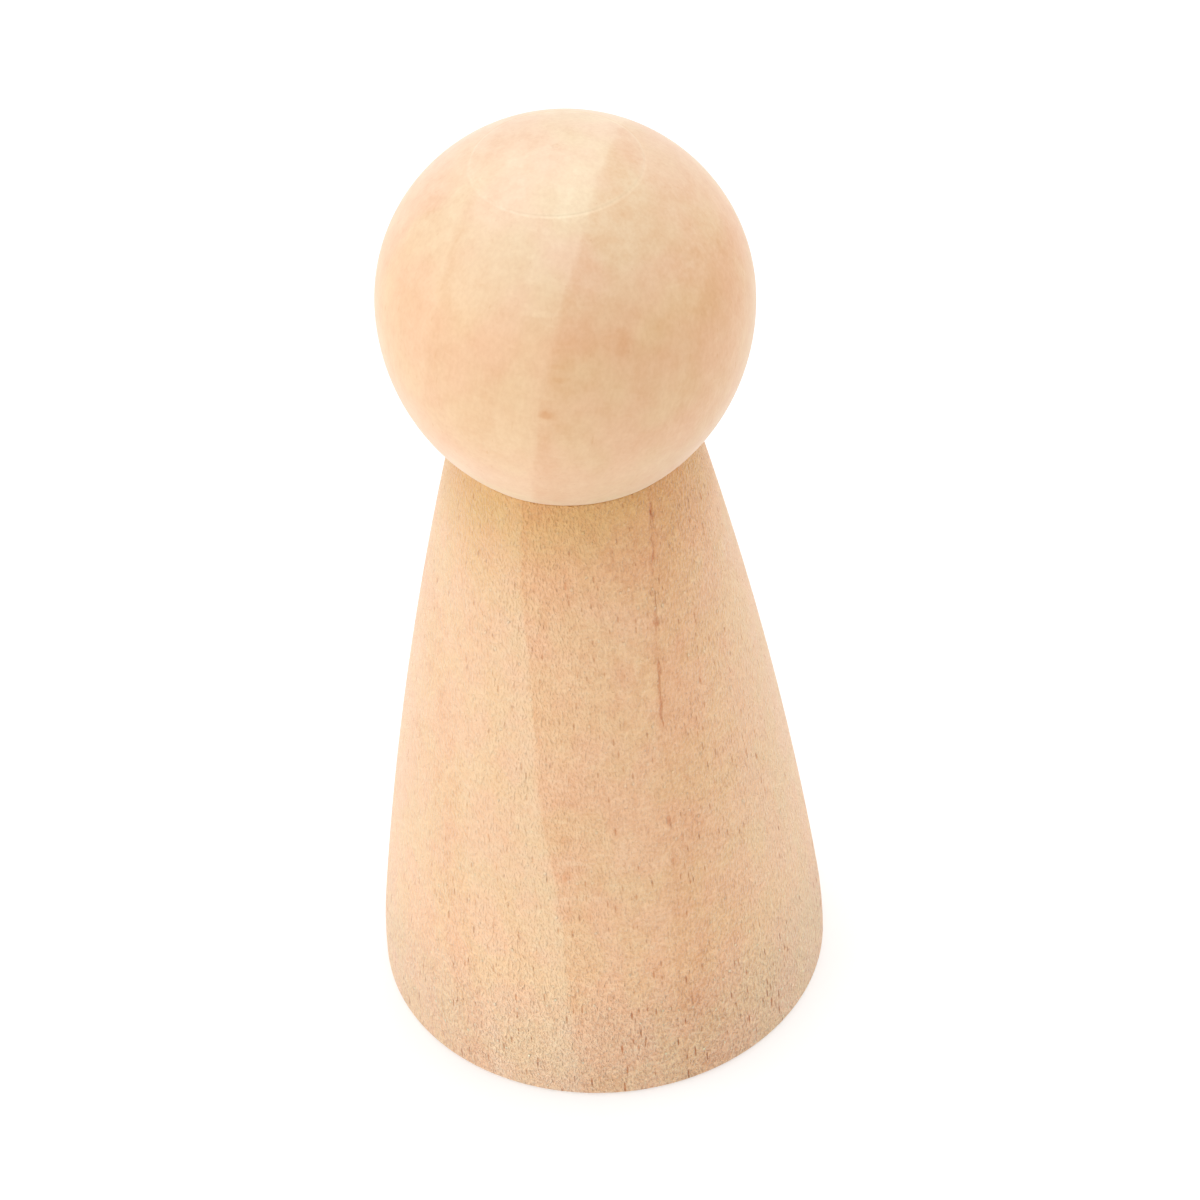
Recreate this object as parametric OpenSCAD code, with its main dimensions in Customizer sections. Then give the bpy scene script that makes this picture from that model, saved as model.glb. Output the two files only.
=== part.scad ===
// Turned wooden peg doll: a ball head pinned and glued to a tapered body.
// Origin at the centre of the base, +Z up the axis of the doll, millimetres.

/* [Body] */
// Height of the body, from its base to the seat of the head
body_height = 40.8; // [35:0.1:50]
// Diameter of the body at its widest, just above the base
base_diameter = 27; // [23:0.1:32]
// Diameter of the neck, where the body and the head meet
neck_diameter = 13.5; // [11:0.1:16]
// Radius of the long curve of the body's side
flank_radius = 315; // [250:1:400]
// Radius of the curve that draws the side in towards the base
skirt_radius = 34; // [27:0.5:42]
// Radius of the sanded edge round the base
base_edge_radius = 0.25; // [0.1:0.05:1]

/* [Head] */
// Diameter of the head at its widest
head_diameter = 20.64; // [17:0.02:24]
// Radius of the curve from the widest line down to the neck
chin_radius = 13.06; // [11:0.02:16]
// Radius of the curve over the crown
crown_radius = 10.42; // [9:0.02:12]
// Angle from the axis at which the crown's curve ends, in degrees
crown_angle = 42.7; // [35:0.1:50]
// Diameter of the turned ring round the crown
ring_diameter = 9.32; // [6:0.02:12]
// Radius of the tool mark that makes the ring
ring_tool_radius = 0.25; // [0.1:0.05:0.5]
// Depth of the ring below the crown
ring_depth = 0.04; // [0.02:0.01:0.08]
// Radius of the ball that marks the centre of the crown
centre_mark_radius = 0.4; // [0.2:0.05:0.8]
// Depth of the centre mark below the crown
centre_mark_depth = 0.06; // [0.02:0.01:0.1]

/* [Neck joint] */
// Diameter of the dowel pin
dowel_diameter = 6; // [4:0.1:8]
// Length of the dowel pin
dowel_length = 20; // [15:0.5:24]
// Length of the dowel pin that stands in the head
dowel_in_head = 9.5; // [7:0.5:12]
// Bevel at each end of the dowel pin
dowel_bevel = 0.6; // [0.2:0.1:1]
// Number of glue flutes round the dowel pin
flute_count = 12; // [6:1:16]
// Radius of the cutter that makes a flute
flute_cutter_radius = 0.4; // [0.2:0.05:0.5]
// Depth of a flute
flute_depth = 0.25; // [0.1:0.05:0.3]
// Clearance for glue round the dowel pin in its sockets
glue_clearance = 0.03; // [0.01:0.01:0.1]
// Space for glue past each end of the dowel pin
end_space = 0.5; // [0.2:0.1:1]
// Width of the countersink at each socket's mouth
countersink = 0.5; // [0.2:0.1:1]
// Width of the broken edge of each seat
seat_edge_break = 0.1; // [0.05:0.05:0.3]

/* [Hidden] */

// Facets round a turned shape
turned_fn = 180;
// How far the straight steps of a curve's outline stay within it, and the fewest in one curve
curve_error = 0.003;
fewest_steps = 5;
// Half of the tip angle of a twist drill, in degrees
drill_half_angle = 59;
// How far a cut runs past the face that it opens
overrun = 1;

base_r = base_diameter / 2;
neck_r = neck_diameter / 2;
head_r = head_diameter / 2;
dowel_r = dowel_diameter / 2;
socket_r = dowel_r + glue_clearance;
ring_r = ring_diameter / 2;

// The side is two arcs that share one normal where they meet, side_angle above the horizontal.
// The skirt's arc is upright above the base, and the flank's arc ends at the neck.
skirt_centre = [base_r - skirt_radius, base_edge_radius];
neck_from_skirt = [neck_r, body_height] - skirt_centre;
radius_step = flank_radius - skirt_radius;
neck_reach = norm(neck_from_skirt);
neck_bearing = atan2(neck_from_skirt[1], neck_from_skirt[0]);
side_cosine = (pow(flank_radius, 2) - pow(radius_step, 2) - pow(neck_reach, 2))
    / (2 * radius_step * neck_reach);
side_angle = neck_bearing - acos(side_cosine);
flank_centre = skirt_centre - radius_step * [cos(side_angle), sin(side_angle)];
neck_from_flank = [neck_r, body_height] - flank_centre;
neck_angle = atan2(neck_from_flank[1], neck_from_flank[0]);

// The head is three arcs: the chin up to the widest line, the cheek up to crown_angle from the
// axis, then the crown.
seat_angle = acos((neck_r - head_r + chin_radius) / chin_radius);
widest_z = body_height + chin_radius * sin(seat_angle);
cheek_radius = (head_r - crown_radius * sin(crown_angle)) / (1 - sin(crown_angle));
chin_centre = [head_r - chin_radius, widest_z];
cheek_centre = [head_r - cheek_radius, widest_z];
crown_centre = [0, widest_z + (cheek_radius - crown_radius) * cos(crown_angle)];
top_z = crown_centre[1] + crown_radius;

dowel_bottom = body_height + dowel_in_head - dowel_length;

// Points of an arc from one angle to another, in degrees above the horizontal
function arc(centre, radius, from, to) =
    let (sweep = abs(to - from) * PI / 180)
    let (steps = max(fewest_steps, ceil(sweep * sqrt(radius / (8 * curve_error)))))
    [for (i = [0 : steps])
        let (angle = from + (to - from) * i / steps)
        centre + radius * [cos(angle), sin(angle)]];

// The corner that is taken off the edge of a seat, halfway between the seat and a side that
// leaves it at side_slope degrees. up is 1 for the head and -1 for the body.
module seat_corner(up, side_slope) {
    inner_r = neck_r - seat_edge_break;
    polygon([
        [inner_r, body_height],
        [inner_r + overrun, body_height],
        [inner_r + overrun, body_height + up * overrun * tan(side_slope / 2)]
    ]);
}

module body_outline() {
    edge_centre = [base_r - base_edge_radius, base_edge_radius];
    difference() {
        polygon(concat(
            [[0, 0]],
            arc(edge_centre, base_edge_radius, -90, 0),
            arc(skirt_centre, skirt_radius, 0, side_angle),
            arc(flank_centre, flank_radius, side_angle, neck_angle),
            [[0, body_height]]
        ));
        seat_corner(-1, 90 - neck_angle);
    }
}

module head_outline() {
    ring_angle = acos(ring_r / crown_radius);
    ring_tool_distance = crown_radius - ring_depth + ring_tool_radius;
    difference() {
        polygon(concat(
            [[0, body_height]],
            arc(chin_centre, chin_radius, -seat_angle, 0),
            arc(cheek_centre, cheek_radius, 0, 90 - crown_angle),
            arc(crown_centre, crown_radius, 90 - crown_angle, 90)
        ));
        seat_corner(1, 90 - seat_angle);
        translate(crown_centre + ring_tool_distance * [cos(ring_angle), sin(ring_angle)])
            circle(r = ring_tool_radius, $fn = turned_fn);
        translate([0, top_z - centre_mark_depth + centre_mark_radius])
            circle(r = centre_mark_radius, $fn = turned_fn);
    }
}

// A blind drilled socket that opens at z = 0, with a countersunk mouth and a drill point
module socket(depth) {
    rotate_extrude($fn = turned_fn)
        polygon([
            [0, -depth - socket_r / tan(drill_half_angle)],
            [socket_r, -depth],
            [socket_r, -countersink],
            [socket_r + countersink + overrun, overrun],
            [0, overrun]
        ]);
}

module body() {
    color("#e6bf9a")
        difference() {
            rotate_extrude($fn = turned_fn) body_outline();
            translate([0, 0, body_height]) socket(body_height - dowel_bottom + end_space);
        }
}

module head() {
    color("#efccab")
        difference() {
            rotate_extrude($fn = turned_fn) head_outline();
            translate([0, 0, body_height]) mirror([0, 0, 1]) socket(dowel_in_head + end_space);
        }
}

module neck_dowel() {
    bevel_r = dowel_r - dowel_bevel;
    flute_axis_r = dowel_r - flute_depth + flute_cutter_radius;
    color("#d9b384")
        difference() {
            translate([0, 0, dowel_bottom])
                rotate_extrude($fn = turned_fn)
                    polygon([
                        [0, 0],
                        [bevel_r, 0],
                        [dowel_r, dowel_bevel],
                        [dowel_r, dowel_length - dowel_bevel],
                        [bevel_r, dowel_length],
                        [0, dowel_length]
                    ]);
            for (turn = [0 : flute_count - 1])
                rotate(turn * 360 / flute_count)
                    translate([flute_axis_r, 0, dowel_bottom - overrun])
                        cylinder(r = flute_cutter_radius, h = dowel_length + 2 * overrun, $fn = 48);
        }
}

body();
head();
neck_dowel();
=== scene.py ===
from math import radians

import bpy
import numpy as np
from mathutils import Matrix, Vector


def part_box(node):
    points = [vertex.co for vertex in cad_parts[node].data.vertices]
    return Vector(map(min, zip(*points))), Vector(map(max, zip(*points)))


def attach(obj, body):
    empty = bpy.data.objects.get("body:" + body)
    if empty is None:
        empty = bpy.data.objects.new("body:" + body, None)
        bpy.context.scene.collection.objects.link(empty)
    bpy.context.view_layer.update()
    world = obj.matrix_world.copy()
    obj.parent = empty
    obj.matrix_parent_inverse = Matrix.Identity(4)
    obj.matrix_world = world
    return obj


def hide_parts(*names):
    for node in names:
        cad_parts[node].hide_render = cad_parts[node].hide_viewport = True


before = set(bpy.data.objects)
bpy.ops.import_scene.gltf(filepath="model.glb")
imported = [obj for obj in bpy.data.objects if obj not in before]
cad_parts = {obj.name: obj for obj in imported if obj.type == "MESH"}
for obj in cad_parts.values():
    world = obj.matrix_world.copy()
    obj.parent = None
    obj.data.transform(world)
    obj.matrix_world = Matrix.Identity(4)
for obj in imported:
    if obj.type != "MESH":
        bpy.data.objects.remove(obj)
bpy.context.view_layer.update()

# Turned wooden peg doll. Blender works in metres, so a size in millimetres is written times mm.
mm = 0.001
scene = bpy.context.scene
scene.view_settings.view_transform = "Standard"
print("frame loaded, nodes:", ", ".join(sorted(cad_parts)))


# Camera: looks down at the doll from the front, a little rolled
cameraLook = {
    "place": (0, -178.68 * mm, 190.67 * mm),
    "pitch": 42.38,   # degrees below the horizon
    "yaw": 0.29,      # degrees to the right of +Y
    "roll": -3.41,    # degrees about the line of sight
    "lens": 126,      # mm, as is the sensor's width
    "sensor": 36,
}


def makeCamera(look):
    # turn about Z by minus yaw, after a tilt about X by 90 less pitch, after the roll
    camera = bpy.data.objects.new("camera", bpy.data.cameras.new("camera"))
    turn = Matrix.Rotation(radians(-look["yaw"]), 4, "Z")
    tilt = Matrix.Rotation(radians(90 - look["pitch"]), 4, "X")
    roll = Matrix.Rotation(radians(look["roll"]), 4, "Z")
    camera.matrix_world = Matrix.Translation(look["place"]) @ turn @ tilt @ roll
    camera.data.lens = look["lens"]
    camera.data.sensor_width = look["sensor"]
    scene.collection.objects.link(camera)
    scene.camera = camera


makeCamera(cameraLook)
print("camera made")


def toLinear(hexColour):
    # sRGB to linear: c / 12.92 up to 0.04045, and ((c + 0.055) / 1.055) to the power 2.4 above
    parts = np.array([int(hexColour[i:i + 2], 16) for i in (1, 3, 5)]) / 255
    linear = np.where(parts <= 0.04045, parts / 12.92, ((parts + 0.055) / 1.055) ** 2.4)
    return (*linear.tolist(), 1.0)


def addNode(tree, kind, settings=None, sockets=None):
    # adds a node, sets its settings, and sets or links its sockets
    node = tree.nodes.new(kind)
    for name, value in (settings or {}).items():
        setattr(node, name, value)
    for name, value in (sockets or {}).items():
        if isinstance(value, bpy.types.NodeSocket):
            tree.links.new(value, node.inputs[name])
        else:
            node.inputs[name].default_value = value
    return node


# Turned pieces. An outline is rows of (radius, height), traced with the solid on the left, from axis
# to axis.
turning = {
    "sides": 360,
    "cornerPoints": 5,            # points on the rounding of a sharp edge
    "sharpAngle": radians(35),    # a sharper fold keeps its edge in the shading
}


def arcRows(centre, radius, start, end, step):
    # centre + radius (cos a, sin a), with a in even steps from start to end, none longer than step
    count = int(np.ceil(abs(end - start) * radius / step)) + 1
    angle = np.linspace(start, end, count)
    return np.stack([centre[0] + radius * np.cos(angle), centre[1] + radius * np.sin(angle)], axis=1)


def cornerRows(start, corner, end):
    # quadratic curve from start to end, drawn towards corner: the rounding of a sharp edge
    t = np.linspace(0, 1, turning["cornerPoints"])[:, None]
    return (1 - t) ** 2 * np.array(start) + 2 * t * (1 - t) * np.array(corner) + t ** 2 * np.array(end)


def turnedSurface(name, outline, oval):
    # Surface of revolution: (r cos v, r sin v, z) for each row (r, z) of the outline and v round the
    # axis, then drawn in along the ring direction by the share that drying takes. Poles are one point.
    rows, sides = outline[1:-1], turning["sides"]
    v = np.linspace(0, 2 * np.pi, sides, endpoint=False)
    x = rows[:, :1] * np.cos(v)
    y = rows[:, :1] * np.sin(v)
    z = np.broadcast_to(rows[:, 1:], x.shape)
    points = np.stack([x, y, z], axis=-1)
    along = np.array([-np.sin(oval["turn"]), np.cos(oval["turn"]), 0])
    points = points - oval["share"] * (points @ along)[..., None] * along
    start, end = [0, 0, outline[0, 1]], [0, 0, outline[-1, 1]]
    points = np.concatenate([points.reshape(-1, 3), [start, end]])

    row = np.arange(len(rows) - 1)[:, None] * sides
    side = np.arange(sides)[None, :]
    after = (side + 1) % sides
    quads = np.stack([row + side, row + after, row + sides + after, row + sides + side], axis=-1)
    last = (len(rows) - 1) * sides
    startFan = np.stack([after[0], side[0], np.full(sides, len(points) - 2)], axis=-1)
    endFan = np.stack([last + side[0], last + after[0], np.full(sides, len(points) - 1)], axis=-1)

    mesh = bpy.data.meshes.new(name)
    faces = quads.reshape(-1, 4).tolist() + startFan.tolist() + endFan.tolist()
    mesh.from_pydata(points.tolist(), [], faces)
    mesh.shade_smooth()
    mesh.set_sharp_from_angle(angle=turning["sharpAngle"])
    mesh.update()
    piece = bpy.data.objects.new(name, mesh)
    scene.collection.objects.link(piece)
    return piece


def socketRows(mouth, end, joint, up):
    # Outline of the dowel's blind socket, from its mouth to the tip of its drill point. up is 1 in
    # the head and -1 in the body.
    radius = joint["dowelRadius"] + joint["clearance"]
    tip = radius / np.tan(joint["drillHalfAngle"])
    return np.array([
        [radius + joint["countersink"], mouth],
        [radius, mouth + up * joint["countersink"]],
        [radius, end],
        [0, end + up * tip],
    ])


# Sizes of the doll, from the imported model's boxes where they show there
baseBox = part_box("body")
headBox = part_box("head")
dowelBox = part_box("neck_dowel")
seatHeight = baseBox[1].z

neckJoint = {
    "dowelRadius": dowelBox[1].x,
    "dowelBottom": dowelBox[0].z,
    "dowelTop": dowelBox[1].z,
    "clearance": 0.03 * mm,       # glue all round the dowel
    "endSpace": 0.5 * mm,         # and past each of its ends
    "countersink": 0.5 * mm,
    "drillHalfAngle": radians(59),
}

bodyShape = {
    "radius": baseBox[1].x,
    "neckRadius": 6.75 * mm,
    "skirtRadius": 34 * mm,      # the curve that draws the side in towards the base
    "flankRadius": 315 * mm,     # the long curve of the side
    "baseEdge": 0.25 * mm,
    "seatEdge": 0.1 * mm,
    "step": 0.22 * mm,           # the longest step along the outline
    "edgeStep": 0.05 * mm,       # and round the edge of the base
    "oval": {"share": 0.003, "turn": 0},  # how far drying draws the wood in along its rings
}


def makeBody(shape, joint):
    # The side is two arcs with one normal where they meet. That normal's slope comes from the
    # triangle of the two centres and the neck.
    skirtCentre = np.array([shape["radius"] - shape["skirtRadius"], shape["baseEdge"]])
    neck = np.array([shape["neckRadius"], seatHeight])
    toNeck = neck - skirtCentre
    reach = np.hypot(*toNeck)
    spread = shape["flankRadius"] - shape["skirtRadius"]
    cosine = (shape["flankRadius"] ** 2 - spread ** 2 - reach ** 2) / (2 * spread * reach)
    slope = np.arctan2(toNeck[1], toNeck[0]) - np.arccos(cosine)
    flankCentre = skirtCentre - spread * np.array([np.cos(slope), np.sin(slope)])
    seatEdge, step = shape["seatEdge"], shape["step"]
    edgeEnd = np.arcsin((seatHeight - seatEdge - flankCentre[1]) / shape["flankRadius"])

    # a ring of points just inside each rounded edge keeps the flat face flat in the shading
    edgeCentre = [shape["radius"] - shape["baseEdge"], shape["baseEdge"]]
    base = [[0, 0], [shape["radius"] / 2, 0], [shape["radius"] - 2 * shape["baseEdge"], 0]]
    edge = arcRows(edgeCentre, shape["baseEdge"], -np.pi / 2, 0, shape["edgeStep"])
    skirt = arcRows(skirtCentre, shape["skirtRadius"], 0, slope, step)[1:]
    flank = arcRows(flankCentre, shape["flankRadius"], slope, edgeEnd, step)[1:]
    rounding = cornerRows(flank[-1], neck, neck - [seatEdge, 0])[1:]
    seat = [[neck[0] - 2 * seatEdge, seatHeight]]
    socket = socketRows(seatHeight, joint["dowelBottom"] - joint["endSpace"], joint, -1)
    outline = np.concatenate([base, edge, skirt, flank, rounding, seat, socket])
    return turnedSurface("turnedBody", outline, shape["oval"])


headShape = {
    "radius": headBox[1].x,
    "top": headBox[1].z,
    "neckRadius": bodyShape["neckRadius"],
    "chinRadius": 13.06 * mm,     # from the neck up to the widest line
    "crownRadius": 10.42 * mm,
    "crownAngle": radians(42.7),  # from the axis, where the crown's curve ends
    "seatEdge": 0.1 * mm,
    "ringRadius": 4.66 * mm,      # the turned ring round the crown
    "ringDepth": 0.02 * mm,
    "ringTool": 0.25 * mm,        # radius of the round tool that cut it
    "ringFine": 2,                # fine steps reach this many times the ring's half width
    "markDepth": 0.06 * mm,       # the lathe's centre mark on the crown
    "markTool": 0.4 * mm,
    "markFine": 1.5,
    "step": 0.2 * mm,
    "fineStep": 0.03 * mm,        # over the ring and the mark
    "oval": {"share": 0.003, "turn": radians(-15)},
}


def makeHead(shape, joint):
    # Chin, cheek and crown are arcs that share a tangent where they meet. On the crown the ring and
    # the centre mark sink along the radius, by the depth of a round tool less its sag.
    neckRadius, radius = shape["neckRadius"], shape["radius"]
    chinRadius, crownRadius, crownAngle = shape["chinRadius"], shape["crownRadius"], shape["crownAngle"]
    seatEdge, step = shape["seatEdge"], shape["step"]
    seatAngle = np.arccos((neckRadius - radius + chinRadius) / chinRadius)
    widest = seatHeight + chinRadius * np.sin(seatAngle)
    cheekRadius = (radius - crownRadius * np.sin(crownAngle)) / (1 - np.sin(crownAngle))
    chinCentre = np.array([radius - chinRadius, widest])
    cheekCentre = np.array([radius - cheekRadius, widest])
    crownCentre = widest + (cheekRadius - crownRadius) * np.cos(crownAngle)
    edgeStart = -np.arcsin((widest - seatHeight - seatEdge) / chinRadius)

    socket = socketRows(seatHeight, joint["dowelTop"] + joint["endSpace"], joint, 1)[::-1]
    neck = np.array([neckRadius, seatHeight])
    seat = [neck - [2 * seatEdge, 0]]
    chin = arcRows(chinCentre, chinRadius, edgeStart, 0, step)
    rounding = cornerRows(neck - [seatEdge, 0], neck, chin[0])[:-1]
    cheek = arcRows(cheekCentre, cheekRadius, 0, np.pi / 2 - crownAngle, step)[1:]

    # the crown by its angle from the axis: even steps, and fine steps over the ring and the mark
    ringAngle = np.arcsin(shape["ringRadius"] / crownRadius)
    ringHalf = shape["ringFine"] * np.sqrt(2 * shape["ringTool"] * shape["ringDepth"]) / crownRadius
    markHalf = shape["markFine"] * np.sqrt(2 * shape["markTool"] * shape["markDepth"]) / crownRadius
    fine = shape["fineStep"] / crownRadius
    even = np.arange(crownAngle - step / crownRadius, 0, -step / crownRadius)
    ringSteps = np.arange(ringAngle + ringHalf, ringAngle - ringHalf, -fine)
    markSteps = np.append(np.arange(markHalf, 0, -fine), 0)
    even = even[(np.abs(even - ringAngle) > ringHalf + fine) & (even > markHalf + fine)]
    angle = np.sort(np.concatenate([even, ringSteps, markSteps]))[::-1]
    ringSag = ((angle - ringAngle) * crownRadius) ** 2 / (2 * shape["ringTool"])
    markSag = (angle * crownRadius) ** 2 / (2 * shape["markTool"])
    sunk = np.maximum(shape["ringDepth"] - ringSag, shape["markDepth"] - markSag)
    reach = crownRadius - np.maximum(sunk, 0)
    crown = np.stack([reach * np.sin(angle), crownCentre + reach * np.cos(angle)], axis=1)
    outline = np.concatenate([socket, seat, rounding, chin, cheek, crown])
    return turnedSurface("turnedHead", outline, shape["oval"])


body = makeBody(bodyShape, neckJoint)
head = makeHead(headShape, neckJoint)
print("body and head turned:", len(body.data.polygons), "and", len(head.data.polygons), "faces")


# Wood. Every pattern is worked out in the solid, in millimetres, so that the sides, the crown and
# the base are cut from one grown block. A tone of 0 is the wood's dark colour, 1 its pale one, and
# the middle tone its own colour.
allWoods = {
    "middleTone": 0.5,
    "driftNoise": (3.1, 1),       # seed and octaves of each random pattern
    "raggedNoise": (7.7, 2),
    "spotNoise": (61.3, 2),
    "rayNoise": (91.7, 1),
    "hueNoise": (41.3, 1),
    "firstSeed": 11.3,            # of the patterns in a wood's own table
    "nextSeed": 7.9,              # added for each one after the first
    "spotCore": 0.3,              # share of a spot's reach that has its full tone
    "vesselSide": 0.5,            # share of a vessel's reach that its sloping side takes
    "vesselRoughness": 0.2,       # added where a vessel is open
    "coarseSpan": (-8, 8),        # mm across the rings over which the surface gets coarser
    "rayShown": (0.35, 0.6),      # how much of the ray pattern shows, from its faint edge to full
    "hueShown": (-0.4, 0.4),      # the hue pattern, from all pink to all straw
    "sheenRoughness": 0.4,
}


def lumps(tree, place, size, seed, detail):
    # Soft random pattern about 0, mostly within 0.5, whose lumps measure size millimetres along
    # X, Y and Z
    scaled = addNode(tree, "ShaderNodeVectorMath", {"operation": "MULTIPLY_ADD"}, {
        0: place,
        1: [1 / length for length in size],
        2: (seed, seed, seed),
    })
    return addNode(tree, "ShaderNodeTexNoise", {"normalize": False}, {
        "Vector": scaled.outputs[0],
        "Scale": 1,
        "Detail": detail,
    }).outputs["Fac"]


def weighted(tree, start, parts):
    # start plus each pattern times its weight
    total = start
    for pattern, weight in parts:
        total = addNode(tree, "ShaderNodeMath", {"operation": "MULTIPLY_ADD"}, {
            0: pattern,
            1: weight,
            2: total,
        }).outputs[0]
    return total


def softSpot(tree, place, spot, ragged, raggedSize):
    # 1 in the middle of an ellipsoid and 0 past its edge, which a random pattern makes ragged
    offset = addNode(tree, "ShaderNodeVectorMath", {"operation": "SUBTRACT"}, {
        0: place,
        1: spot["place"],
    })
    share = addNode(tree, "ShaderNodeVectorMath", {"operation": "DIVIDE"}, {
        0: offset.outputs[0],
        1: spot["size"],
    })
    reach = addNode(tree, "ShaderNodeVectorMath", {"operation": "LENGTH"}, {0: share.outputs[0]})
    noise = lumps(tree, place, raggedSize, *allWoods["spotNoise"])
    return addNode(tree, "ShaderNodeMapRange", {"interpolation_type": "SMOOTHSTEP"}, {
        "Value": weighted(tree, reach.outputs["Value"], [(noise, ragged)]),
        "From Min": allWoods["spotCore"],
        "From Max": 1,
        "To Min": 1,
        "To Max": 0,
    }).outputs[0]


def grownDistance(tree, grain, wood):
    # Distance across the growth rings, which are arcs about a pith that lies far off along X:
    # x - y * y / (2 pithDistance), a little random drift, and swells at set places
    parts = addNode(tree, "ShaderNodeSeparateXYZ", {}, {0: grain})
    square = addNode(tree, "ShaderNodeMath", {"operation": "MULTIPLY"}, {
        0: parts.outputs[1],
        1: parts.outputs[1],
    })
    arched = addNode(tree, "ShaderNodeMath", {"operation": "MULTIPLY_ADD"}, {
        0: square.outputs[0],
        1: -0.5 / wood["pithDistance"],
        2: parts.outputs[0],
    })
    drift = lumps(tree, grain, wood["driftSize"], *allWoods["driftNoise"])
    ragged = lumps(tree, grain, wood["raggedSize"], *allWoods["raggedNoise"])
    shifts = [(drift, wood["drift"]), (ragged, wood["ragged"])]
    for swell in wood["swells"]:
        shifts.append((softSpot(tree, grain, swell, 0, swell["size"]), swell["shift"]))
    across = addNode(tree, "ShaderNodeMath", {"operation": "ADD"}, {
        0: arched.outputs[0],
        1: weighted(tree, 0, shifts),
    })
    return across.outputs[0], parts


def grownRings(tree, across, wood):
    # Tone by the distance across the rings, from a table of millimetres and changes of tone. The
    # table's span has the doll's axis in its middle.
    span, middle = wood["ringSpan"], allWoods["middleTone"]
    share = addNode(tree, "ShaderNodeMath", {"operation": "MULTIPLY_ADD"}, {
        0: across,
        1: 1 / span,
        2: 1 / 2,
    })
    ramp = addNode(tree, "ShaderNodeValToRGB", {}, {"Fac": share.outputs[0]})
    elements = ramp.color_ramp.elements
    for element in elements:
        element.color = (middle, middle, middle, 1)
    for ring in wood["rings"]:
        for offset, change in ring["tones"]:
            element = elements.new(1 / 2 + (ring["place"] + offset) / span)
            element.color = (middle + change, middle + change, middle + change, 1)
    return ramp.outputs["Color"]


def cutVessels(tree, grain, vessel):
    # Vessels cut open: cells stretched along the grain, one tube in each, and a random reach for
    # each tube in shares of its cell. Cells whose random number is under none have no tube.
    scaled = addNode(tree, "ShaderNodeVectorMath", {"operation": "MULTIPLY_ADD"}, {
        0: grain,
        1: [1 / length for length in vessel["cell"]],
        2: (vessel["seed"], vessel["seed"], vessel["seed"]),
    })
    cells = addNode(tree, "ShaderNodeTexVoronoi", {}, {"Vector": scaled.outputs[0], "Scale": 1})
    chance = addNode(tree, "ShaderNodeSeparateColor", {}, {0: cells.outputs["Color"]})
    reach = vessel["reach"]
    reached = addNode(tree, "ShaderNodeMapRange", {}, {
        "Value": chance.outputs[0],
        "From Min": vessel["none"],
        "From Max": 1,
        "To Min": 0,
        "To Max": reach,
    })
    inside = addNode(tree, "ShaderNodeMath", {"operation": "SUBTRACT"}, {
        0: reached.outputs[0],
        1: cells.outputs["Distance"],
    })
    return addNode(tree, "ShaderNodeMapRange", {"interpolation_type": "SMOOTHSTEP"}, {
        "Value": inside.outputs[0],
        "From Min": 0,
        "From Max": reach * allWoods["vesselSide"],
        "To Min": 0,
        "To Max": 1,
    }).outputs[0]


def turnedLine(tree, place, radius, width):
    # 1 at one distance from the Z axis, and 0 past width from it
    flat = addNode(tree, "ShaderNodeVectorMath", {"operation": "MULTIPLY"}, {0: place, 1: (1, 1, 0)})
    distance = addNode(tree, "ShaderNodeVectorMath", {"operation": "LENGTH"}, {0: flat.outputs[0]})
    offset = addNode(tree, "ShaderNodeMath", {"operation": "SUBTRACT"}, {
        0: distance.outputs["Value"],
        1: radius,
    })
    away = addNode(tree, "ShaderNodeMath", {"operation": "ABSOLUTE"}, {0: offset.outputs[0]})
    return addNode(tree, "ShaderNodeMapRange", {"interpolation_type": "SMOOTHSTEP"}, {
        "Value": away.outputs[0],
        "From Min": 0,
        "From Max": width,
        "To Min": 1,
        "To Max": 0,
    }).outputs[0]


def byHeight(tree, place, table):
    # a colour by height, from a table of millimetres above the base and colours
    parts = addNode(tree, "ShaderNodeSeparateXYZ", {}, {0: place})
    top = headShape["top"] / mm
    level = addNode(tree, "ShaderNodeMath", {"operation": "MULTIPLY"}, {0: parts.outputs[2], 1: 1 / top})
    ramp = addNode(tree, "ShaderNodeValToRGB", {}, {"Fac": level.outputs[0]})
    first, last = ramp.color_ramp.elements
    first.color = table[0][1]
    last.color = table[-1][1]
    for position, colour in table[1:-1]:
        ramp.color_ramp.elements.new(position / top).color = colour
    return ramp.outputs["Color"]


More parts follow.
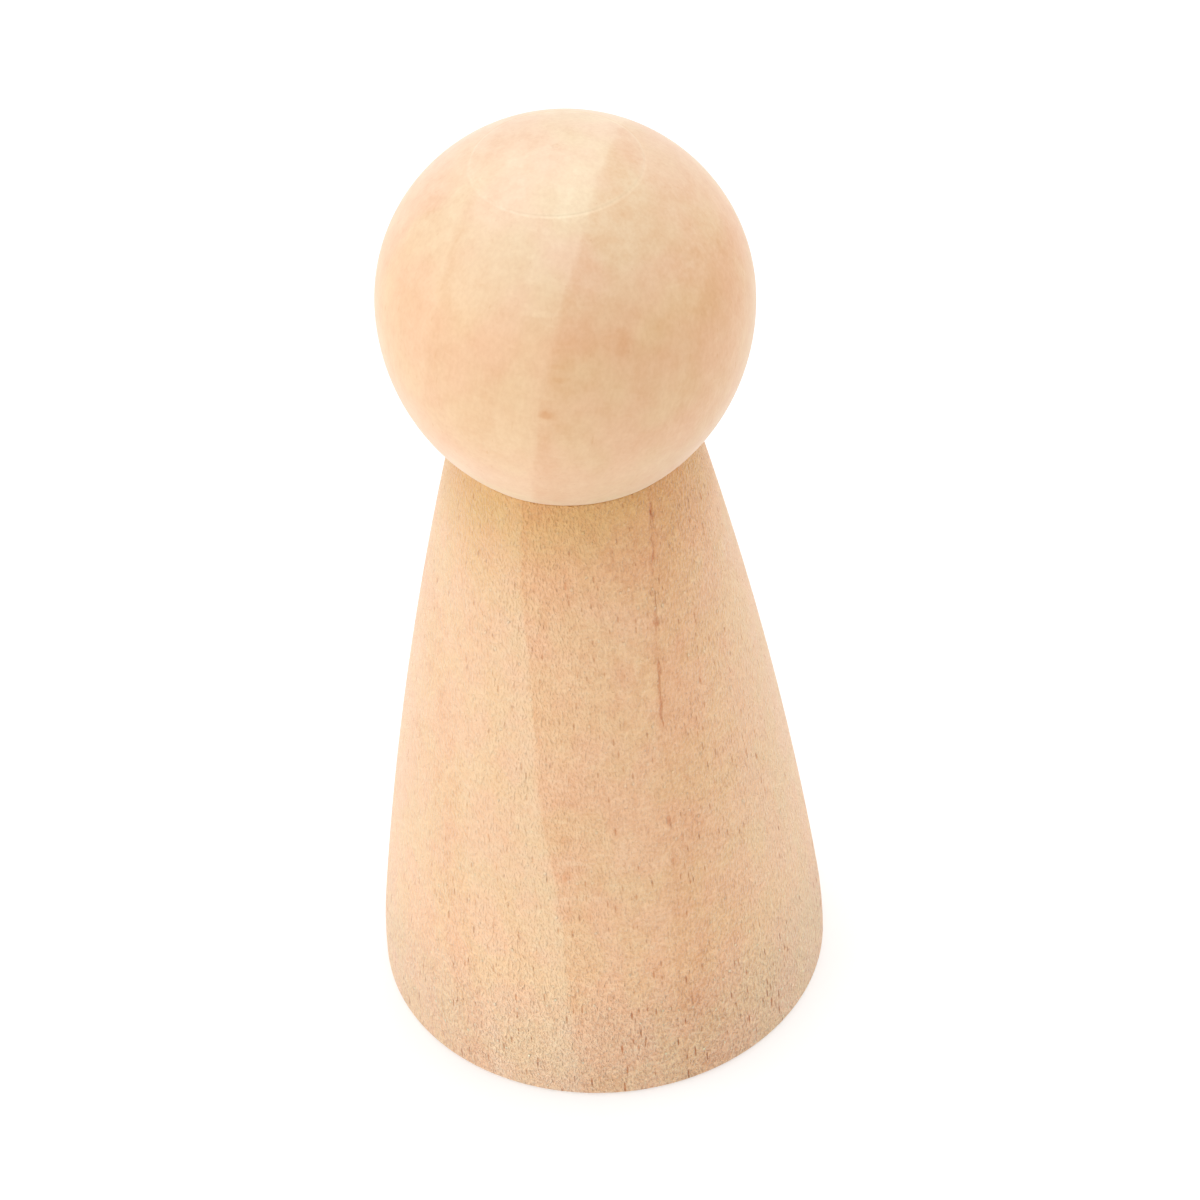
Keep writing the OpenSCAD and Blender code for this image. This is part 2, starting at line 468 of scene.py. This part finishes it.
def woodMaterial(name, wood):
    material = bpy.data.materials.new(name)
    material.use_nodes = True
    tree = material.node_tree
    tree.nodes.clear()
    coordinates = addNode(tree, "ShaderNodeTexCoord")
    place = addNode(tree, "ShaderNodeMapping", {}, {
        "Vector": coordinates.outputs["Object"],
        "Scale": (1 / mm, 1 / mm, 1 / mm),
    }).outputs[0]
    grain = addNode(tree, "ShaderNodeMapping", {}, {
        "Vector": place,
        "Rotation": [radians(angle) for angle in wood["ringTurn"]],
    }).outputs[0]

    across, parts = grownDistance(tree, grain, wood)
    rings = grownRings(tree, across, wood)

    # how coarse the surface is: by height, and more towards the bark, at +X
    barkCoarse = addNode(tree, "ShaderNodeMapRange", {"interpolation_type": "SMOOTHSTEP"}, {
        "Value": across,
        "From Min": allWoods["coarseSpan"][0],
        "From Max": allWoods["coarseSpan"][1],
        "To Min": 1 - wood["barkCoarse"],
        "To Max": 1 + wood["barkCoarse"],
    })
    coarse = addNode(tree, "ShaderNodeMath", {"operation": "MULTIPLY"}, {
        0: byHeight(tree, place, [(level, (share, share, share, 1)) for level, share in wood["coarse"]]),
        1: barkCoarse.outputs[0],
    }).outputs[0]
    tones, lights, heights, roughnesses = [], [], [], []
    for index, pattern in enumerate(wood["patterns"].values()):
        seed = allWoods["firstSeed"] + allWoods["nextSeed"] * index
        found = lumps(tree, grain, pattern["size"], seed, pattern["detail"])
        if pattern["height"]:
            found = addNode(tree, "ShaderNodeMath", {"operation": "MULTIPLY"}, {
                0: found,
                1: coarse,
            }).outputs[0]
        tones.append((found, pattern["tone"]))
        lights.append((found, pattern["paintedLight"]))
        heights.append((found, pattern["height"]))

    # vessels cut open, with painted shade in them, and raised fibres, with painted highlights on them
    for vessel in wood["vessels"].values():
        opening = addNode(tree, "ShaderNodeMath", {"operation": "MULTIPLY"}, {
            0: cutVessels(tree, grain, vessel),
            1: coarse,
        }).outputs[0]
        tones.append((opening, vessel["tone"]))
        lights.append((opening, vessel["paintedLight"]))
        heights.append((opening, vessel["height"]))
        roughnesses.append((opening, allWoods["vesselRoughness"]))

    # rays: short pale lines across the grain
    rays = addNode(tree, "ShaderNodeMapRange", {"interpolation_type": "SMOOTHSTEP"}, {
        "Value": lumps(tree, grain, wood["raySize"], *allWoods["rayNoise"]),
        "From Min": allWoods["rayShown"][0],
        "From Max": allWoods["rayShown"][1],
        "To Min": 0,
        "To Max": 1,
    })
    tones.append((rays.outputs[0], wood["rayTone"]))

    # flecks at set places, and broken dark lines of vessels that follow a ring
    for spot in wood["spots"]:
        found = softSpot(tree, place, spot, wood["spotRagged"], wood["spotRaggedSize"])
        tones.append((found, spot["tone"]))
    ringPlace = addNode(tree, "ShaderNodeCombineXYZ", {}, {
        0: across,
        1: parts.outputs[1],
        2: parts.outputs[2],
    })
    for line in wood["lines"]:
        found = softSpot(tree, ringPlace.outputs[0], line, wood["lineRagged"], wood["lineRaggedSize"])
        tones.append((found, line["tone"]))
        lights.append((found, line["paintedLight"]))
        heights.append((found, line["height"]))

    # the turned ring round the crown, a real groove, painted pale: a painted sheen along it
    if wood["ringRadius"]:
        paintedRingSheen = turnedLine(tree, place, wood["ringRadius"], wood["ringWidth"])
        tones.append((paintedRingSheen, wood["ringPaintedSheen"]))

    tone = weighted(tree, rings, tones)
    ramp = addNode(tree, "ShaderNodeValToRGB", {}, {"Fac": tone})
    darkEnd, paleEnd = ramp.color_ramp.elements
    darkEnd.color = toLinear(wood["dark"])
    paleEnd.color = toLinear(wood["pale"])
    ramp.color_ramp.elements.new(allWoods["middleTone"]).color = toLinear(wood["colour"])

    # patches that lean to pink or to straw
    hues = addNode(tree, "ShaderNodeMapRange", {"interpolation_type": "SMOOTHSTEP"}, {
        "Value": lumps(tree, grain, wood["hueSize"], *allWoods["hueNoise"]),
        "From Min": allWoods["hueShown"][0],
        "From Max": allWoods["hueShown"][1],
        "To Min": 0,
        "To Max": 1,
    })
    patches = addNode(tree, "ShaderNodeMix", {"data_type": "RGBA"}, {
        0: hues.outputs[0],
        6: toLinear(wood["pinkTint"]),
        7: toLinear(wood["strawTint"]),
    })

    # painted light and shade multiplied in: a tint for the light on the right side, light and shade by
    # height, and the light and dark of the relief
    paintedSide = addNode(tree, "ShaderNodeMapRange", {"interpolation_type": "SMOOTHSTEP"}, {
        "Value": across,
        "From Min": wood["paintedSideSpan"][0],
        "From Max": wood["paintedSideSpan"][1],
        "To Min": 0,
        "To Max": 1,
    })
    paintedHeightLight = byHeight(tree, place, [(level, toLinear(hexColour)) for level, hexColour in wood["paintedLightByHeight"]])
    # the painted light and shade of the relief, as a grey multiplier
    paintedRelief = addNode(tree, "ShaderNodeVectorMath", {"operation": "MULTIPLY_ADD"}, {
        0: weighted(tree, 0, lights),
        1: wood["paintedLightShares"],
        2: (1, 1, 1),
    })
    colour = ramp.outputs["Color"]
    layers = [
        (1, patches.outputs[2]),
        (paintedSide.outputs[0], toLinear(wood["paintedSideTint"])),
        (1, paintedHeightLight),
        (1, paintedRelief.outputs[0]),
    ]
    for share, layer in layers:
        colour = addNode(tree, "ShaderNodeMix", {"data_type": "RGBA", "blend_type": "MULTIPLY"}, {
            0: share,
            6: colour,
            7: layer,
        }).outputs[2]

    # heights in millimetres
    height = weighted(tree, 0, heights)
    bump = addNode(tree, "ShaderNodeBump", {}, {"Height": height, "Distance": mm, "Strength": 1})
    shader = addNode(tree, "ShaderNodeBsdfPrincipled", {}, {
        "Base Color": colour,
        "Roughness": weighted(tree, wood["roughness"], roughnesses),
        "IOR": wood["ior"],
        "Sheen Weight": wood["sheen"],
        "Sheen Roughness": allWoods["sheenRoughness"],
        "Normal": bump.outputs[0],
    })
    addNode(tree, "ShaderNodeOutputMaterial", {}, {"Surface": shader.outputs[0]})
    return material


# Birch, turned and sanded once: open vessels show as short dark flecks in a faintly fuzzy surface.
# Vessels of about 0.1 mm are drawn up to twice as wide, and the nap's fibres in lumps of 0.13 mm, so
# that they show. Sizes and places are in mm, along X, Y and Z.
bodyWood = {
    "colour": "#fdd7af",
    "pale": "#feecce",
    "dark": "#e4975a",
    "pinkTint": "#fffbf9",
    "strawTint": "#fdfef6",
    "paintedSideTint": "#fffcf7",        # painted warmer light on the right side, towards +X
    "paintedSideSpan": (0, 5.5),
    # painted light and shade by height: paler low down, where the floor lights the side, and darker and
    # more golden under the head, where its shadow falls
    "paintedLightByHeight": [                   # mm above the base, and the tint there
        (0, "#fff8f4"),
        (4, "#fffaf7"),
        (9, "#fdf3eb"),
        (15, "#f3ebe4"),
        (33, "#f2e9e2"),
        (36, "#f0e3d3"),
        (38.5, "#e8d8ba"),
        (40.5, "#e2cea2"),
        (60, "#e2cea2"),
    ],
    # how coarse the surface is: mm above the base, and the share of the pattern's own strength
    "coarse": [(0, 1.7), (5, 1.5), (9, 1.1), (14, 0.8), (30, 0.72), (38, 0.85), (60, 0.85)],
    "barkCoarse": 0.12,           # more by this share towards the bark, and less away from it
    "ringTurn": (0, 0.4, 0),      # degrees about X, Y and Z that the block was turned by
    "pithDistance": 120,          # mm from the axis to the middle of the tree
    "ringSpan": 44,               # mm of the block that the ring colours cover
    "rings": [                    # mm from the axis, then mm from there and the change of tone
        {"place": -14.5, "tones": [(-0.6, 0.02), (0, -0.03), (0.8, -0.03), (2.2, 0.02)]},
        {"place": -8.75, "tones": [(-1, 0), (-0.2, -0.045), (0.3, -0.045), (1.2, 0.06)]},
        {"place": -2.95, "tones": [(-2.2, 0.03), (-1.2, 0.08), (0, 0.1), (0.15, -0.07), (1.2, -0.07)]},
        {"place": 3.85, "tones": [(-1.6, -0.055), (-0.2, -0.065), (0.1, -0.12), (1.4, -0.115),
                                  (3.2, -0.065), (5, 0.03)]},
        {"place": 12.3, "tones": [(-1, 0.08), (0, 0.07), (0.2, 0.01), (1.2, 0.03)]},
    ],
    "swells": [{"place": (-3, -9, 29), "size": (6, 12, 18), "shift": 0.7}],  # a bulge in the rings
    "drift": 0.4,                 # mm that a ring line wanders
    "driftSize": (16, 16, 30),
    "ragged": 0.14,               # mm that its edge is torn
    "raggedSize": (0.5, 0.5, 1.6),
    "patterns": {                 # height is in mm, and light the painted light or shade, as the share gained or lost
        "clouds": {"size": (3, 3, 5), "detail": 2, "tone": 0.04, "paintedLight": 0, "height": 0},
        "mottle": {"size": (0.7, 0.7, 0.9), "detail": 3, "tone": 0.08, "paintedLight": 0, "height": 0},
        "streaks": {"size": (0.22, 0.22, 3), "detail": 2, "tone": 0.06, "paintedLight": 0, "height": 0},
        "nap": {"size": (0.13, 0.13, 0.26), "detail": 2, "tone": 0.08, "paintedLight": 0.12, "height": 0.085},
        "feed": {"size": (5, 5, 0.25), "detail": 1, "tone": 0.015, "paintedLight": 0, "height": 0.003},
    },
    "raySize": (1.4, 1.4, 0.35),
    "rayTone": 0.06,
    "spots": [                    # flecks, pale where the tone is above 0
        {"place": (-2.3, -10.7, 20.5), "size": (1.3, 1.5, 0.2), "tone": 0.08},
        {"place": (-2.2, -10.9, 19.3), "size": (0.9, 1.5, 0.6), "tone": -0.09},
        {"place": (-1.6, -11.3, 17.6), "size": (1.5, 1.5, 0.22), "tone": 0.09},
        {"place": (-2.2, -11.3, 16.7), "size": (0.8, 1.5, 0.5), "tone": -0.1},
        {"place": (-1.9, -11.6, 15.1), "size": (1.5, 1.5, 0.22), "tone": 0.09},
        {"place": (-2.3, -11.7, 14.2), "size": (0.8, 1.5, 0.5), "tone": -0.09},
        {"place": (-2.1, -11.9, 13.2), "size": (1.2, 1.5, 0.2), "tone": 0.07},
        {"place": (-2, -12.5, 8.8), "size": (1.4, 1.5, 0.3), "tone": 0.07},
        {"place": (-2.3, -12.6, 7.6), "size": (0.9, 1.5, 0.6), "tone": -0.08},
        {"place": (5.1, -12, 6.3), "size": (1.2, 1.8, 1.5), "tone": -0.07},
        {"place": (5.6, -11.3, 9.2), "size": (1, 1.8, 1.2), "tone": -0.05},
        {"place": (5.4, -9.9, 18.5), "size": (1, 1.8, 1.6), "tone": -0.05},
        {"place": (-8, -10.4, 2.2), "size": (1.4, 1.5, 0.9), "tone": -0.05},
        # darker under the chin, in front: painted shade of the head
        {"place": (3.6, -7, 36.2), "size": (2.6, 2.5, 3.2), "tone": -0.08},
    ],
    "lines": [                    # the first place is mm across the rings
        {"place": (3.95, -8.5, 29), "size": (0.12, 8, 9.5), "tone": -0.18, "paintedLight": -0.12, "height": -0.04},
    ],
    "spotRagged": 0.6,            # how torn a fleck's edge is, as a share of its reach
    "spotRaggedSize": (0.4, 0.4, 0.4),
    "lineRagged": 1.5,            # a line is torn past its middle, so it breaks up
    "lineRaggedSize": (0.4, 0.4, 2),
    "hueSize": (2.2, 2.2, 3),
    "vessels": {                  # a tube's cell, its reach in shares of that, and the share left empty
        "fine": {"cell": (0.24, 0.24, 2), "reach": 0.32, "none": 0.2, "tone": -0.26, "paintedLight": -0.13,
                 "height": -0.045, "seed": 5.5},
        "open": {"cell": (0.6, 0.6, 3.6), "reach": 0.17, "none": 0.3, "tone": -0.3, "paintedLight": -0.1,
                 "height": -0.045, "seed": 8.2},
        # raised fibres: a real bump, with painted highlights in their pale tone and light
        "raised": {"cell": (0.45, 0.45, 0.6), "reach": 0.26, "none": 0.3, "tone": 0.25, "paintedLight": 0.15,
                   "height": 0.09, "seed": 2.9},
    },
    "paintedLightShares": (0.75, 1, 1.2),  # how much of a pattern's painted light or shade goes to red, green and blue
    "ringRadius": 0,              # the body has no turned ring
    "roughness": 0.42,
    "ior": 1.55,
    "sheen": 0.26,
}

# Maple, turned and finely sanded: close grained, paler and smoother, with soft rings
headWood = dict(
    bodyWood,
    colour="#e7c7a9",
    pale="#f8e7cf",
    dark="#d4955f",
    pinkTint="#fff9f6",
    # painted shade on the head's right side, towards +X
    paintedSideTint="#f9f8f4",
    paintedSideSpan=(-9, -4),            # mm across the head's own rings, which are turned
    hueSize=(3.6, 3.6, 4.5),
    swells=[],
    pithDistance=2000,
    # painted light by height: a paler, cooler chin, lit by the floor, and a paler crown, lit from above
    paintedLightByHeight=[
        (0, "#ffffff"),
        (41.5, "#f8f9f1"),
        (46, "#faf0e2"),
        (54, "#faeedd"),
        (57.5, "#fcfbf8"),
        (60, "#fbffff"),
    ],
    coarse=[(0, 1), (60, 1)],
    barkCoarse=0,
    rayTone=0.03,
    ringTurn=(0, -10.45, 16.25),
    rings=[
        {"place": -13.8, "tones": [(-1.4, 0), (-0.3, 0.03), (0, -0.04), (0.8, -0.02), (2, 0.01)]},
        {"place": -7.6, "tones": [(-2.4, 0.01), (-1.2, 0.08), (-0.1, 0.08), (0.1, -0.06),
                                  (1.2, -0.05), (2.4, 0)]},
        {"place": -1.05, "tones": [(-1.2, -0.03), (-0.3, -0.02), (0, -0.09), (1, -0.08), (2, -0.05)]},
        {"place": 5.5, "tones": [(-1, -0.04), (0, -0.09), (1, -0.06), (2, -0.03)]},
    ],
    patterns={
        "clouds": {"size": (3, 3, 4), "detail": 2, "tone": 0.03, "paintedLight": 0, "height": 0},
        "mottle": {"size": (0.9, 0.9, 1.1), "detail": 3, "tone": 0.085, "paintedLight": 0, "height": 0},
        "streaks": {"size": (0.4, 0.4, 3), "detail": 2, "tone": 0.015, "paintedLight": 0, "height": 0},
        "nap": {"size": (0.2, 0.2, 0.3), "detail": 2, "tone": 0.03, "paintedLight": 0.03, "height": 0.004},
    },
    spots=[
        {"place": (-1.45, -10.2, 50.15), "size": (0.9, 1.5, 0.6), "tone": -0.09},
        {"place": (-1.4, -10.2, 50.2), "size": (0.5, 1.5, 0.36), "tone": -0.14},
        {"place": (-1.4, -7.2, 56.9), "size": (1.1, 1.2, 0.35), "tone": 0.08},
        {"place": (-1.25, -8.4, 55.5), "size": (1.3, 1.2, 0.2), "tone": 0.1},
        {"place": (3.7, -8.6, 54), "size": (0.6, 1.5, 0.7), "tone": 0.08},
        {"place": (2.75, -9.1, 53.8), "size": (0.5, 1.5, 1.1), "tone": -0.09},
        {"place": (-0.7, -9.8, 53), "size": (0.6, 1.5, 0.2), "tone": -0.07},
        {"place": (-0.5, -10, 52.3), "size": (0.6, 1.5, 0.2), "tone": -0.07},
        {"place": (3.3, -0.8, 59.4), "size": (1.5, 1.8, 1.5), "tone": -0.06},
        {"place": (8.5, -2.3, 55), "size": (1, 1.6, 1.6), "tone": -0.06},
        {"place": (5.5, -4, 57.2), "size": (4, 4, 4), "tone": -0.08},
        {"place": (7.8, -4.5, 54), "size": (3, 4, 4), "tone": -0.06},
        {"place": (-6.7, -1, 57.4), "size": (1.3, 1.3, 1), "tone": -0.1},
        # a paler patch on the crown: painted light from above
        {"place": (-2, -3, 59.5), "size": (5, 5, 4), "tone": 0.07},
        # a paler patch on the chin: painted light from the floor
        {"place": (1.2, -9.5, 44.5), "size": (4, 4, 3.5), "tone": 0.05},
    ],
    spotRagged=0.3,
    lines=[],
    vessels={
        "fine": {"cell": (0.3, 0.3, 2), "reach": 0.25, "none": 0.4, "tone": -0.04, "paintedLight": -0.03,
                 "height": -0.003, "seed": 5.5},
    },
    ringRadius=4.62,
    ringWidth=0.22,
    # a painted sheen along the crown's ring
    ringPaintedSheen=0.08,
)

# Beech dowel, rolled and fluted: darker, with long fibres
dowelWood = dict(
    bodyWood,
    colour="#d9b384",
    pale="#ecd0aa",
    dark="#b48652",
    spots=[],
    lines=[],
)

body.data.materials.append(woodMaterial("turnedBirch", bodyWood))
head.data.materials.append(woodMaterial("sandedMaple", headWood))
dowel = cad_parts["neck_dowel"]
beech = woodMaterial("rolledBeech", dowelWood)
for materialSlot in dowel.material_slots:
    materialSlot.material = beech
print("woods made")

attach(body, "root")
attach(head, "root")
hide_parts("body")
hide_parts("head")


# Studio: a white floor, a soft sky and four soft panels
studio = {
    "floorRadius": 1.5,           # metres, as are the panels' distance and size
    "floorSides": 96,
    "floorGap": 0.05 * mm,        # below the base, so that the two faces never share a plane
    "underRadius": 13 * mm,       # the floor is open under the base, which lets light reach the base
    "floorColour": "#cccccc",
    "skyColour": "#ffffff",
    "skyStrength": 0.6,
    "floorGlow": 0.57,            # the floor's own light on the doll
    "floorShown": 0.46,           # and as the camera sees it
    "panels": {
        "leftPanel": {"azimuth": -68, "elevation": 15, "distance": 0.6, "size": 0.7, "power": 2.25},
        "topPanel": {"azimuth": -140, "elevation": 68, "distance": 0.6, "size": 0.7, "power": 0.9},
        "backPanel": {"azimuth": 180, "elevation": 60, "distance": 0.6, "size": 0.7, "power": 1.05},
        "rightPanel": {"azimuth": 95, "elevation": 35, "distance": 0.6, "size": 0.7, "power": 1.35},
    },
}


def makePanel(name, look):
    # a square lamp at azimuth (0 is the camera's side, -Y) and elevation, facing the doll's middle
    azimuth, elevation = radians(look["azimuth"]), radians(look["elevation"])
    away = Vector((
        np.sin(azimuth) * np.cos(elevation),
        -np.cos(azimuth) * np.cos(elevation),
        np.sin(elevation),
    ))
    lamp = bpy.data.objects.new(name, bpy.data.lights.new(name, "AREA"))
    lamp.data.size = look["size"]
    lamp.data.energy = look["power"]
    middle = Vector((0, 0, headShape["top"] / 2))
    lamp.location = middle + away * look["distance"]
    lamp.rotation_euler = away.to_track_quat("Z", "Y").to_euler()
    scene.collection.objects.link(lamp)


def seenDirectly(tree):
    # 1 for what the camera, a gloss or a clear thing sees, 0 for light on its way to a surface
    path = addNode(tree, "ShaderNodeLightPath")
    gloss = addNode(tree, "ShaderNodeMath", {"operation": "MAXIMUM"}, {
        0: path.outputs["Is Glossy Ray"],
        1: path.outputs["Is Transmission Ray"],
    })
    return addNode(tree, "ShaderNodeMath", {"operation": "MAXIMUM"}, {
        0: path.outputs["Is Camera Ray"],
        1: gloss.outputs[0],
    }).outputs[0]


def makeSky(look):
    world = bpy.data.worlds.new("softSky")
    world.use_nodes = True
    tree = world.node_tree
    tree.nodes.clear()
    strength = addNode(tree, "ShaderNodeMapRange", {}, {
        "Value": seenDirectly(tree),
        "To Min": look["skyStrength"],
        "To Max": 1,
    })
    background = addNode(tree, "ShaderNodeBackground", {}, {
        "Color": toLinear(look["skyColour"]),
        "Strength": strength.outputs[0],
    })
    addNode(tree, "ShaderNodeOutputWorld", {}, {"Surface": background.outputs[0]})
    scene.world = world


def makeFloor(look):
    # A flat ring: radius from under the doll to the floor's edge, angle all the way round. From
    # above it is pale with the doll's shadow, and from below it is clear.
    sides = look["floorSides"]
    v = np.linspace(0, 2 * np.pi, sides, endpoint=False)
    radii = np.array([look["underRadius"], look["floorRadius"]])
    x, y = radii[:, None] * np.cos(v), radii[:, None] * np.sin(v)
    points = np.stack([x, y, np.full_like(x, -look["floorGap"])], axis=-1).reshape(-1, 3)
    side = np.arange(sides)
    after = (side + 1) % sides
    faces = np.stack([side, sides + side, sides + after, after], axis=-1)
    mesh = bpy.data.meshes.new("floor")
    mesh.from_pydata(points.tolist(), [], faces.tolist())
    floor = bpy.data.objects.new("floor", mesh)
    scene.collection.objects.link(floor)

    material = bpy.data.materials.new("paleFloor")
    material.use_nodes = True
    tree = material.node_tree
    tree.nodes.clear()
    paint = addNode(tree, "ShaderNodeBsdfDiffuse", {}, {"Color": toLinear(look["floorColour"])})
    strength = addNode(tree, "ShaderNodeMapRange", {}, {
        "Value": seenDirectly(tree),
        "To Min": look["floorGlow"],
        "To Max": look["floorShown"],
    })
    glow = addNode(tree, "ShaderNodeEmission", {}, {"Strength": strength.outputs[0]})
    shown = addNode(tree, "ShaderNodeAddShader", {}, {0: paint.outputs[0], 1: glow.outputs[0]})
    below = addNode(tree, "ShaderNodeNewGeometry").outputs["Backfacing"]
    clear = addNode(tree, "ShaderNodeBsdfTransparent")
    sided = addNode(tree, "ShaderNodeMixShader", {}, {0: below, 1: shown.outputs[0], 2: clear.outputs[0]})
    addNode(tree, "ShaderNodeOutputMaterial", {}, {"Surface": sided.outputs[0]})
    mesh.materials.append(material)


makeSky(studio)
makeFloor(studio)
for panelName, panelLook in studio["panels"].items():
    makePanel(panelName, panelLook)
print("studio made")
